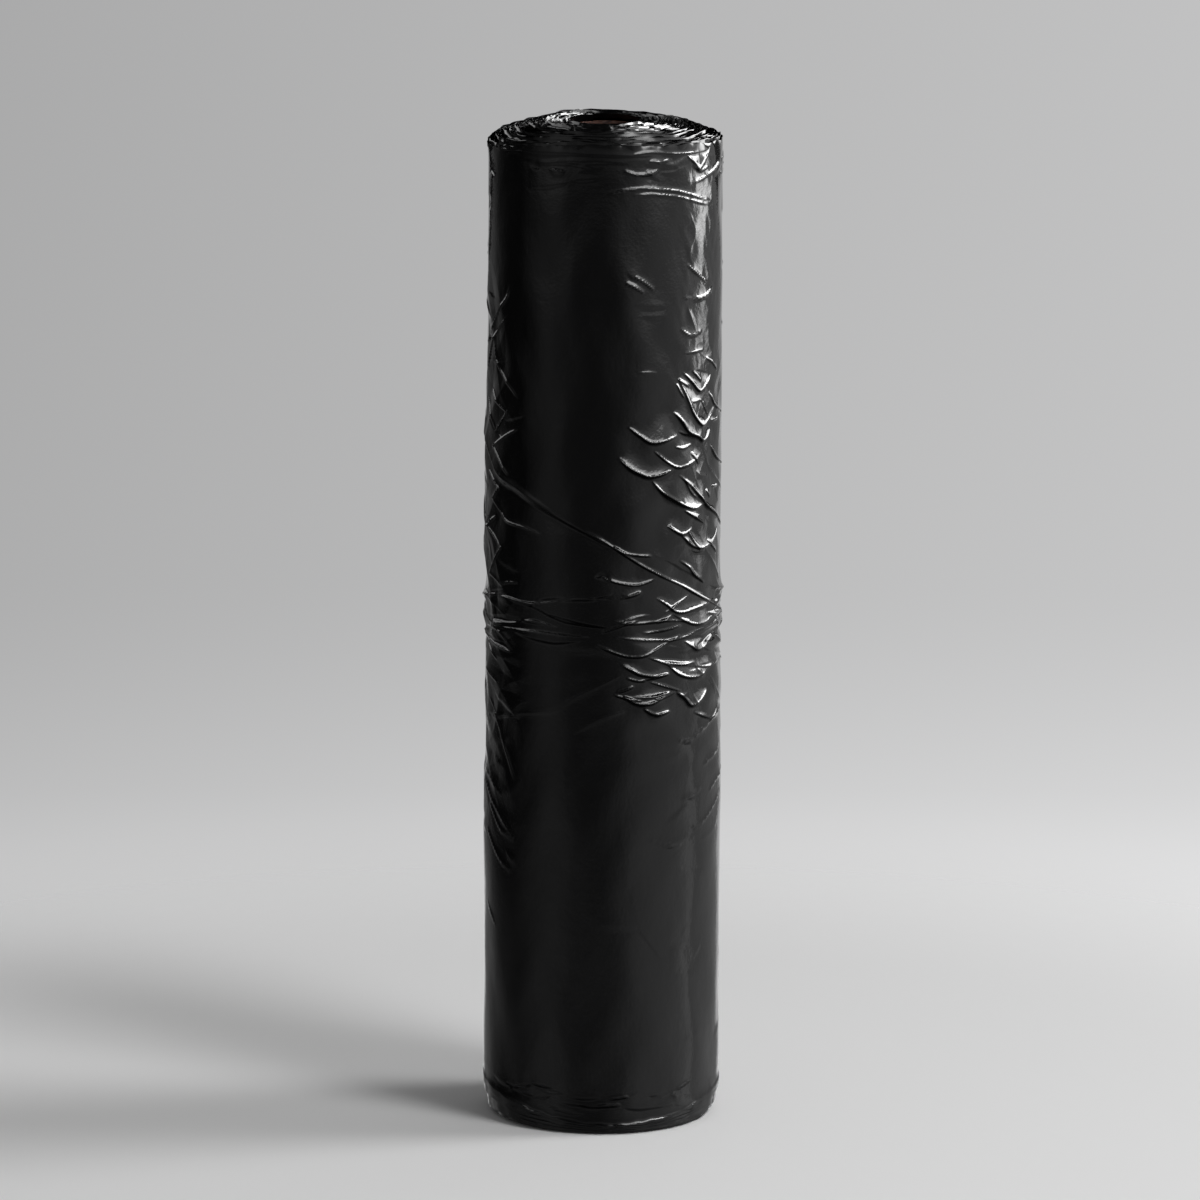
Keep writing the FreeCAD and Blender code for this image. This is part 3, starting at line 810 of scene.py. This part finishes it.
# ---- materials ----
class Shading:
    """The node tree of a material, a lamp or the world, with short ways to add to it."""

    def __init__(self, owner):
        owner.use_nodes = True
        self.nodes = owner.node_tree.nodes
        self.link = owner.node_tree.links.new

    def add(self, kind, inputs):
        """A node of this kind. Its inputs are given as values to set or as sockets to link."""
        node = self.nodes.new("ShaderNode" + kind)
        for name, value in inputs.items():
            if isinstance(value, bpy.types.NodeSocket):
                self.link(value, node.inputs[name])
            else:
                node.inputs[name].default_value = value
        return node

    def place(self):
        return self.add("TexCoord", {}).outputs["Object"]

    def axes(self, vector):
        return self.add("SeparateXYZ", {"Vector": vector}).outputs

    def math(self, operation, *values):
        node = self.add("Math", dict(enumerate(values)))
        node.operation = operation
        return node.outputs["Value"]

    def remap(self, value, low, high, interpolation="LINEAR"):
        """low and high are pairs: a value, and what it becomes."""
        node = self.add("MapRange", {"Value": value, "From Min": low[0], "To Min": low[1],
                                     "From Max": high[0], "To Max": high[1]})
        node.interpolation_type = interpolation
        return node.outputs["Result"]


def new_material(name):
    material = bpy.data.materials.new(name)
    tree = Shading(material)
    return material, tree, tree.nodes["Principled BSDF"]


# Relief too fine for the mesh: width of its marks in mm, that as a share of their length, and depth.
FILM_GRAIN = [(2.2, 1.0, 0.10), (9.0, 0.6, 0.26)]
GRAIN_HEIGHTS = [(8, 0.1), (30, 1.0), (732, 1.0), (748, 0.1)]  # mm above the floor, and strength
FILM_ROUGHNESS = (0.06, 0.12)


def film_material():
    material, tree, shader = new_material("black_polyethylene")
    place = tree.place()
    haze = tree.add("TexNoise", {"Vector": place, "Scale": 14.0, "Detail": 4.0}).outputs["Fac"]
    rough = tree.remap(haze, (0.0, FILM_ROUGHNESS[0]), (1.0, FILM_ROUGHNESS[1]))
    shader.inputs["Base Color"].default_value = (0.002, 0.002, 0.0022, 1)
    shader.inputs["IOR"].default_value = 1.5
    tree.link(rough, shader.inputs["Roughness"])
    tree.link(film_grain(tree, place), shader.inputs["Normal"])
    return material


def film_grain(tree, place):
    """Fine crinkles of the film, over a slower unevenness that is drawn out up the roll."""
    strength = strength_by_height(tree, place)
    normal = None
    for size, narrow, depth in FILM_GRAIN:
        stretched = tree.add("Mapping", {"Vector": place, "Scale": (1.0, 1.0, narrow)}).outputs["Vector"]
        noise = tree.add("TexNoise", {"Vector": stretched, "Scale": 1.0 / (size * MM), "Detail": 3.0})
        bump = tree.add("Bump", {"Height": noise.outputs["Fac"], "Strength": strength,
                                 "Distance": depth * MM})
        if normal is not None:
            tree.link(normal, bump.inputs["Normal"])
        normal = bump.outputs["Normal"]
    return normal


def strength_by_height(tree, place):
    """Strength of the crinkles: full on the skin, and little on the cut edges at both ends."""
    up = tree.axes(place)["Z"]
    bottom, low, high, top = [(height * MM, strength) for height, strength in GRAIN_HEIGHTS]
    return tree.math("MINIMUM", tree.remap(up, bottom, low), tree.remap(up, top, high))


FIBRE_TONES = ((0.35, (0.045, 0.018, 0.012, 1)), (0.70, (0.095, 0.040, 0.026, 1)))
SEAM_TONE = (0.35, 0.33, 0.32, 1)
SEAM_PITCH = 70.0  # rise of the board's spiral seam in one turn, mm
SEAM_SHARE = 0.02  # of the pitch, its width
FIBRE_RELIEF = 0.05  # mm


def kraft_material():
    material, tree, shader = new_material("kraft_board")
    place = tree.place()
    fibres = tree.add("TexNoise", {"Vector": place, "Scale": 420.0, "Detail": 6.0}).outputs["Fac"]
    tint = tree.add("ValToRGB", {"Fac": fibres})
    for stop, (position, tone) in zip(tint.color_ramp.elements, FIBRE_TONES):
        stop.position = position
        stop.color = tone
    shade = tree.add("MixRGB", {"Fac": winding_seam(tree, place), "Color1": tint.outputs["Color"],
                                "Color2": SEAM_TONE})
    shade.blend_type = "MULTIPLY"
    relief = tree.add("Bump", {"Height": fibres, "Distance": FIBRE_RELIEF * MM})
    shader.inputs["Roughness"].default_value = 0.85
    tree.link(shade.outputs["Color"], shader.inputs["Base Color"])
    tree.link(relief.outputs["Normal"], shader.inputs["Normal"])
    return material


def winding_seam(tree, place):
    """1 along the spiral seam between two strips of board, and 0 elsewhere."""
    axes = tree.axes(place)
    turn = tree.math("MULTIPLY", tree.math("ARCTAN2", axes["Y"], axes["X"]), 1.0 / FULL_TURN)
    climb = tree.math("MULTIPLY_ADD", axes["Z"], 1.0 / (SEAM_PITCH * MM), turn)
    return tree.math("LESS_THAN", tree.math("FRACT", climb), SEAM_SHARE)


# ---- studio ----
CAMERA_PITCH = 11.0
CAMERA_ROLL = 0.26
CAMERA_DISTANCE = 8.0
CAMERA_AIM = Vector((-0.0019, 0.0, 0.3935))
CAMERA_LENS = 318.0
SENSOR_WIDTH = 36.0


def direction(azimuth, elevation):
    """Unit vector from the object. Azimuth 0 is towards the camera, 90 to its right."""
    a, e = math.radians(azimuth), math.radians(elevation)
    return Vector((math.sin(a) * math.cos(e), -math.cos(a) * math.cos(e), math.sin(e)))


def camera():
    data = bpy.data.cameras.new("camera")
    data.lens = CAMERA_LENS
    data.sensor_width = SENSOR_WIDTH
    piece = bpy.data.objects.new("camera", data)
    back = direction(0.0, CAMERA_PITCH)
    piece.location = CAMERA_AIM + back * CAMERA_DISTANCE
    facing = (-back).to_track_quat("-Z", "Y").to_matrix().to_4x4()
    turned = facing @ Matrix.Rotation(math.radians(CAMERA_ROLL), 4, "Z")
    piece.rotation_euler = turned.to_euler()
    bpy.context.scene.collection.objects.link(piece)
    bpy.context.scene.camera = piece


# Panels of soft light: azimuth, distance, height, height that they face, width and height, radiance
# (what a mirror would show), and whether they light the floor, the film's gloss or both.
Softbox = namedtuple("Softbox", "name azimuth distance height aim size radiance reach")
SOFTBOXES = [Softbox(*box) for box in (
    ("strip", 106.0, 1.10, 0.92, 0.92, (0.40, 1.24), 11.5, "gloss"),
    ("front_panel", 38.0, 1.60, 1.00, 0.40, (1.45, 0.60), 7.5, "gloss"),
    ("side_panel", 82.0, 1.60, 1.10, 0.40, (1.10, 0.60), 6.5, "gloss"),
    ("back_panel", 128.0, 1.60, 1.10, 0.40, (1.10, 0.60), 3.5, "gloss"),
    ("right_key", 97.0, 3.00, 3.60, 0.10, (1.80, 1.80), 19.0, "floor"),
    ("front_key", 47.0, 3.00, 3.60, 0.10, (1.80, 1.80), 19.0, "floor"),
    ("overhead", 150.0, 0.60, 2.10, 0.40, (0.9, 0.6), 1.6, "both"),
)]
SOFTBOX_EDGE = 0.4  # share of a panel's side over which it fades in
SOFTBOX_RIM = 0.08  # brightness that is left at its very edge


def soften(lamp):
    """Dims a panel towards its edges, as a softbox's cloth does."""
    tree = Shading(lamp)
    axes = tree.axes(tree.add("NewGeometry", {}).outputs["Parametric"])
    fades = []
    for axis in ("X", "Y"):
        from_edge = tree.math("PINGPONG", axes[axis], 0.5)
        fades.append(tree.remap(from_edge, (0.0, SOFTBOX_RIM), (SOFTBOX_EDGE, 1.0), "SMOOTHSTEP"))
    tree.link(tree.math("MULTIPLY", *fades), tree.nodes["Emission"].inputs["Strength"])


def softboxes():
    for box in SOFTBOXES:
        data = bpy.data.lights.new(box.name, "AREA")
        data.shape = "RECTANGLE"
        data.size, data.size_y = box.size
        data.energy = math.pi * box.size[0] * box.size[1] * box.radiance
        soften(data)
        piece = bpy.data.objects.new(box.name, data)
        piece.visible_diffuse = box.reach != "gloss"
        piece.visible_glossy = box.reach != "floor"
        piece.location = direction(box.azimuth, 0.0) * box.distance + Vector((0.0, 0.0, box.height))
        facing = Vector((0.0, 0.0, box.aim)) - piece.location
        piece.rotation_euler = facing.to_track_quat("-Z", "Y").to_euler()
        bpy.context.scene.collection.objects.link(piece)


# Brightness that dark and pale cards round the object give its reflections, by azimuth.
CARD_TONES = [
    (-164, 0.16), (-150, 0.14), (-140, 0.12), (-128, 0.06), (-110, 0.02), (-90, 0.02), (-78, 0.06),
    (-60, 0.15), (-50, 0.17), (-40, 0.15), (-30, 0.09), (-15, 0.07), (0, 0.08), (10, 0.12),
    (20, 0.20), (35, 0.40), (50, 0.50), (70, 0.58), (85, 0.70), (96, 1.0), (98, 0.54), (112, 0.52),
    (130, 0.42), (152, 0.32),
]
# The cards' outline, as distance and height in mm, how bright they are there, and the floor's glow.
CARD_PROFILE = [
    (60, -2600, 0.02, 0.0), (1500, -2600, 0.05, 0.0), (2200, -2200, 0.1, 0.0), (2600, -1100, 0.5, 0.08),
    (2600, -700, 0.9, 0.10), (2600, -150, 1.0, 0.0), (2600, 300, 1.0, 0.0), (2600, 650, 2.1, 0.0),
    (2600, 950, 2.1, 0.0), (2600, 1350, 0.35, 0.0), (2300, 2200, 0.25, 0.0), (1200, 3000, 0.25, 0.0),
    (60, 3200, 0.25, 0.0),
]
# Bright band that creases tilted a little upwards pick out as thin lines: its radiance, and its
# elevation, which falls towards the sides as the reflection in such a crease does.
EDGE_TONES = [
    (-164, 0.7), (-140, 1.1), (-110, 1.6), (-92, 1.8), (-76, 1.3), (-60, 1.0), (-42, 2.5), (-22, 9.0),
    (-6, 16.0), (6, 22.0), (20, 25.0), (96, 23.0), (120, 10.0), (150, 4.0),
]
EDGE_RISE = [(0, 31.0), (40, 28.0), (80, 21.0), (100, 16.0), (120, 11.0), (140, 5.0), (164, 2.0)]
# Degrees above that elevation, and brightness there.
EDGE_PROFILE = [(-7.0, 0.0), (-3.5, 0.03), (-2.5, 1.0), (7.0, 1.0), (8.5, 0.03), (16.0, 0.01)]
EDGE_DISTANCE = 2500.0  # mm
EDGE_LEVEL = 450.0  # height on the object that the band is meant for
CARD_STEP = 2.0  # degrees between two columns of a wall


def card_wall(name, card_tones, place_rows):
    """A curved wall of cards that only the film's gloss sees. It is open behind the object."""
    azimuth = np.arange(card_tones[0][0], card_tones[-1][0] + 1.0, CARD_STEP)
    tones = np.interp(azimuth, *zip(*card_tones))
    even = np.ones(azimuth.shape)
    rows, values = [], []
    for distance, height, share, glow in place_rows(azimuth):
        rows.append(polar(distance * even, np.radians(azimuth - 90.0), height * even))
        values.append(tones * share + glow)
    wall = grid_mesh(name, np.stack(rows))
    tone = wall.data.attributes.new("tone", "FLOAT", "POINT")
    tone.data.foreach_set("value", np.concatenate(values).astype(np.float32))
    material = bpy.data.materials.new(name)
    tree = Shading(material)
    tree.nodes.clear()
    read = tree.add("Attribute", {})
    read.attribute_name = "tone"
    glow = tree.add("Emission", {"Strength": read.outputs["Fac"]})
    tree.add("OutputMaterial", {"Surface": glow.outputs["Emission"]})
    wall.data.materials.append(material)
    wall.visible_camera = False
    wall.visible_diffuse = False
    wall.visible_shadow = False


def rising_rows(azimuth):
    rise = np.interp(np.abs(azimuth), *zip(*EDGE_RISE))
    return [(EDGE_DISTANCE, EDGE_LEVEL + EDGE_DISTANCE * np.tan(np.radians(rise + above)), share, 0.0)
            for above, share in EDGE_PROFILE]


def studio_cards():
    card_wall("studio_cards", CARD_TONES, lambda azimuth: CARD_PROFILE)
    card_wall("edge_cards", EDGE_TONES, rising_rows)


FLOOR_RADIUS = 1100.0
FLOOR_SOLID_RADIUS = 450.0
FLOOR_CLEAR = 0.98  # share of its radius at which it has faded out
FLOOR_GRID = (40, 96)  # rings and columns


def floor():
    """A pale disc that carries the shadow and fades into the background at its edge."""
    radius = np.linspace(1.0, FLOOR_RADIUS, FLOOR_GRID[0])[:, None]
    angle = np.arange(FLOOR_GRID[1]) / FLOOR_GRID[1] * FULL_TURN
    disc = grid_mesh("floor", polar(radius, angle, np.zeros_like(radius * angle))[::-1], closed=True)
    material, tree, shader = new_material("floor")
    shader.inputs["Base Color"].default_value = (0.84, 0.84, 0.84, 1)
    shader.inputs["Roughness"].default_value = 0.9
    shader.inputs["Specular IOR Level"].default_value = 0.0
    length = tree.add("VectorMath", {0: tree.place()})
    length.operation = "LENGTH"
    solid, clear = FLOOR_SOLID_RADIUS * MM, FLOOR_RADIUS * MM * FLOOR_CLEAR
    fade = tree.remap(length.outputs["Value"], (solid, 1.0), (clear, 0.0), "SMOOTHSTEP")
    tree.link(fade, shader.inputs["Alpha"])
    disc.data.materials.append(material)
    disc.visible_glossy = False


# Background brightness by height of the view, as the sine of its elevation.
BACKDROP_TONES = [
    (-0.60, 0.66), (-0.32, 0.69), (-0.26, 0.70), (-0.23, 0.70), (-0.219, 0.70), (-0.208, 0.58),
    (-0.19, 0.475), (-0.12, 0.465),
]
BACKDROP_SIDES = ((-0.057, 0.86), (0.057, 1.14))  # share of it, by sine of the bearing off the middle
BACKDROP_BLUE = 1.005
AMBIENT = 0.18  # even light from all round


def backdrop(tree):
    across, _, up = tree.axes(tree.add("TexCoord", {}).outputs["Generated"])
    low, high = BACKDROP_TONES[0][0], BACKDROP_TONES[-1][0]
    ramp = tree.add("ValToRGB", {"Fac": tree.remap(up, (low, 0.0), (high, 1.0))})
    ramp.color_ramp.interpolation = "B_SPLINE"
    stops = ramp.color_ramp.elements
    for sine, _ in BACKDROP_TONES[1:-1]:
        stops.new((sine - low) / (high - low))
    for stop, (_, tone) in zip(stops, BACKDROP_TONES):
        stop.color = (tone, tone, tone * BACKDROP_BLUE, 1)
    side = tree.remap(across, *BACKDROP_SIDES)
    return tree.add("Background", {"Color": ramp.outputs["Color"], "Strength": side})


def world():
    """The backdrop, which the camera, gloss and glass see, and an even ambient light for the rest."""
    studio = bpy.data.worlds.new("studio")
    bpy.context.scene.world = studio
    tree = Shading(studio)
    tree.nodes.clear()
    shown = backdrop(tree)
    ambient = tree.add("Background", {"Color": (1, 1, 1, 1), "Strength": AMBIENT})
    rays = tree.add("LightPath", {}).outputs
    seen = tree.math("MAXIMUM", rays["Is Camera Ray"], rays["Is Glossy Ray"])
    seen = tree.math("MAXIMUM", seen, rays["Is Transmission Ray"])
    mix = tree.add("MixShader", {0: seen, 1: ambient.outputs[0], 2: shown.outputs[0]})
    tree.add("OutputWorld", {"Surface": mix.outputs["Shader"]})


# ---- the scene ----
film = film_material()
film_skin(film)
film_end("film_top_edges", top_rows, TOP_COLUMNS, TOP_CREASE, film)
film_end("film_foot_edges", foot_rows, FOOT_COLUMNS, FOOT_CREASE, film)
core = frame["nodes"]["core_tube"]
core.data.materials.clear()
core.data.materials.append(kraft_material())

camera()
world()
floor()
studio_cards()
softboxes()

bpy.context.scene.view_settings.view_transform = "Standard"
